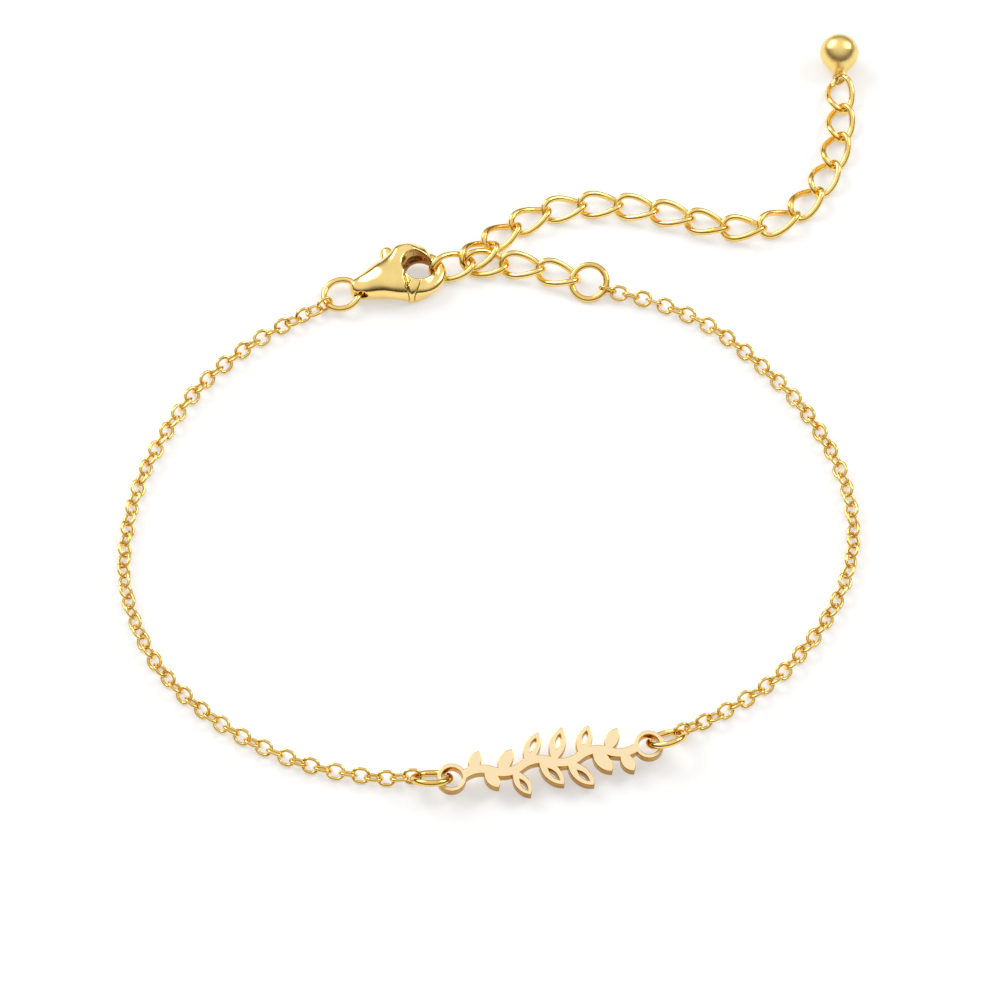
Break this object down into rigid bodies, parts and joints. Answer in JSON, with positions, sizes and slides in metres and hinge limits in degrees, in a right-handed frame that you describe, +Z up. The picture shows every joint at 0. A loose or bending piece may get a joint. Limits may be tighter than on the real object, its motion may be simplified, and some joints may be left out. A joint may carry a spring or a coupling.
{
  "type": "nameplate bracelet",
  "caption": "Fine cable chain bracelet with an openwork bar, lobster clasp, curb-link extender and teardrop end, clasped and lying flat",
  "frame": {"origin": "middle of the lying bracelet's bounding box, on the table", "axes": "+Z up from the table, the bar at the -Y side and the extender's free end towards +Y, +X to the wearer's right of the bar as it is read"},
  "size_m": [0.0578, 0.0713, 0.003],
  "materials": {
    "plate": "satin, warm cream gold with darker cut edges",
    "fine_chain": "polished gold",
    "rings": "polished gold",
    "clasp": "polished gold",
    "extender": "polished gold",
    "drop": "polished gold"
  },
  "bodies": {
    "bracelet": {"plate": "plate", "plate_ring_left": "rings", "plate_ring_right": "rings", "chain_left": "fine_chain", "chain_right": "fine_chain", "clasp_ring": "rings", "clasp_body": "clasp", "clasp_pin": "clasp", "end_ring": "rings", "extender_link_01": "extender", "extender_link_02": "extender", "extender_link_03": "extender", "extender_link_04": "extender", "extender_link_05": "extender", "extender_link_06": "extender", "extender_link_07": "extender", "extender_link_08": "extender", "extender_link_09": "extender", "extender_link_10": "extender", "extender_link_11": "extender", "extender_link_12": "extender", "extender_link_13": "extender", "extender_link_14": "extender", "extender_link_15": "extender", "extender_link_16": "extender", "extender_link_17": "extender", "extender_link_18": "extender", "extender_link_19": "extender", "drop": "drop"},
    "lever": {"clasp_lever": "clasp"}
  },
  "joints": [
    {"name": "clasp_lever_hinge", "type": "hinge", "parent": "bracelet", "child": "lever", "pos_m": [-0.00852, 0.01177, 0.00095], "axis": [0, 0, 1], "range_deg": [0, 25], "stiffness_Nm_per_rad": 0.003, "springref_deg": -8.59}
  ]
}
